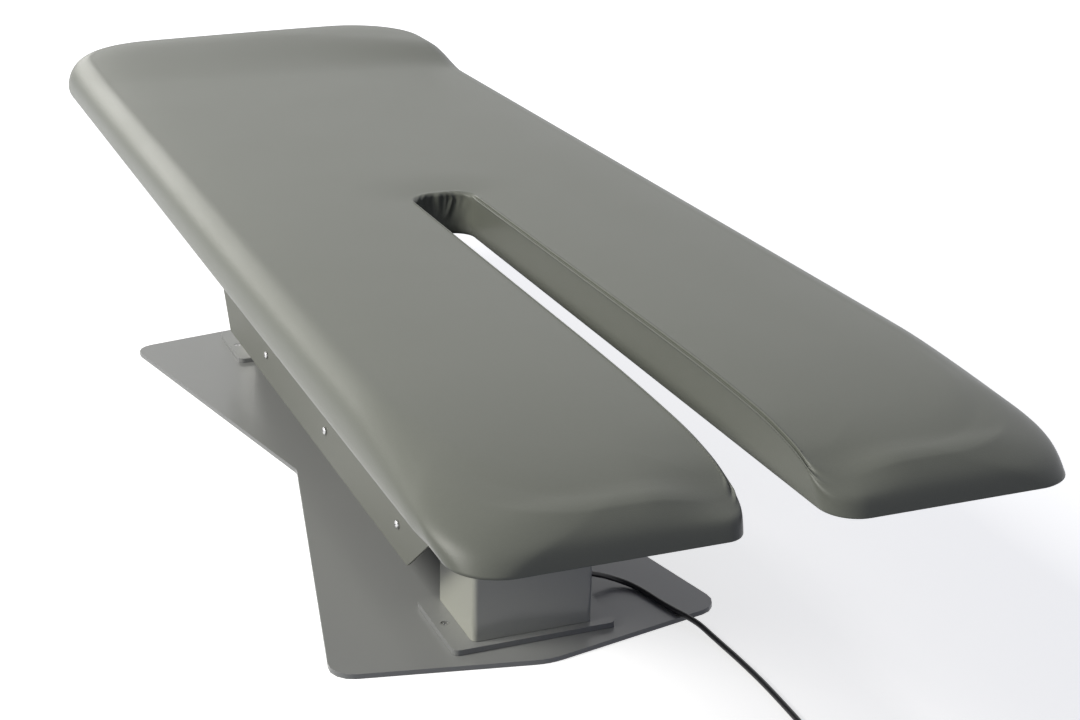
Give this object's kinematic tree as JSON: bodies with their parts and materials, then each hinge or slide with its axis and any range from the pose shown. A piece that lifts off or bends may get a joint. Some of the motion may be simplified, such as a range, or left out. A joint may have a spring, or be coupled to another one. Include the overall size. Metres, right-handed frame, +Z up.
{
  "type": "chiropractic table",
  "caption": "Powered chiropractic table with a flat padded top split at the leg end by a long slot, on two telescoping columns and a bow-tie base plate.",
  "frame": {"origin": "on the floor, under the middle of the cushion's length and width", "axes": "+Z up, +Y towards the closed head end of the cushion, +X to the right seen from the leg end"},
  "size_m": [0.622, 1.944, 0.4806],
  "materials": {
    "vinyl": "satin grey vinyl",
    "plywood": "sealed birch plywood",
    "plate_paint": "glossy silver-grey paint",
    "column_paint": "glossy silver-grey paint",
    "panel_paint": "satin silver-grey paint",
    "frame_paint": "satin dark grey paint",
    "bright_steel": "bright zinc",
    "cast_aluminium": "as cast",
    "black_plastic": "fine moulded grain",
    "glide_plastic": "smooth acetal",
    "cord_rubber": "matt black sheath"
  },
  "bodies": {
    "base": {"base_plate": "plate_paint", "near_foot": "plate_paint", "near_left_foot_bolt": "bright_steel", "near_right_foot_bolt": "bright_steel", "near_outer_tube": "column_paint", "near_outer_glide": "glide_plastic", "near_gearbox": "cast_aluminium", "near_motor": "black_plastic", "near_screw_housing": "cast_aluminium", "far_foot": "plate_paint", "far_left_foot_bolt": "bright_steel", "far_right_foot_bolt": "bright_steel", "far_outer_tube": "column_paint", "far_outer_glide": "glide_plastic", "far_gearbox": "cast_aluminium", "far_motor": "black_plastic", "far_screw_housing": "cast_aluminium", "cord_gland": "black_plastic", "cord_stretch": "cord_rubber", "cord_coil": "cord_rubber", "cord_plug": "black_plastic"},
    "middle_stage": {"near_middle_tube": "frame_paint", "near_middle_glide": "glide_plastic", "near_middle_screw_tube": "bright_steel", "far_middle_tube": "frame_paint", "far_middle_glide": "glide_plastic", "far_middle_screw_tube": "bright_steel"},
    "top": {"near_inner_tube": "frame_paint", "near_head_plate": "frame_paint", "near_ram": "bright_steel", "far_inner_tube": "frame_paint", "far_head_plate": "frame_paint", "far_ram": "bright_steel", "near_saddle_plate": "frame_paint", "middle_bearer": "frame_paint", "far_bearer": "frame_paint", "left_rail": "frame_paint", "left_rail_near_cap": "black_plastic", "left_rail_far_cap": "black_plastic", "right_rail": "frame_paint", "right_rail_near_cap": "black_plastic", "right_rail_far_cap": "black_plastic", "left_side_plate": "panel_paint", "left_near_side_screw": "bright_steel", "left_middle_side_screw": "bright_steel", "left_far_side_screw": "bright_steel", "right_side_plate": "panel_paint", "right_near_side_screw": "bright_steel", "right_middle_side_screw": "bright_steel", "right_far_side_screw": "bright_steel", "near_tie_bar": "bright_steel", "middle_tie_bar": "bright_steel", "far_tie_bar": "bright_steel", "control_box": "black_plastic", "deck_board": "plywood", "cushion": "vinyl"}
  },
  "joints": [
    {"name": "lower_stage_lift", "type": "slide", "parent": "base", "child": "middle_stage", "axis": [0, 0, 1], "range_m": [0, 0.1145]},
    {"name": "upper_stage_lift", "type": "slide", "parent": "middle_stage", "child": "top", "axis": [0, 0, 1], "range_m": [0, 0.1145]}
  ],
  "couplings": [
    {"joint": "lower_stage_lift", "follows": "upper_stage_lift", "ratio": 1}
  ]
}
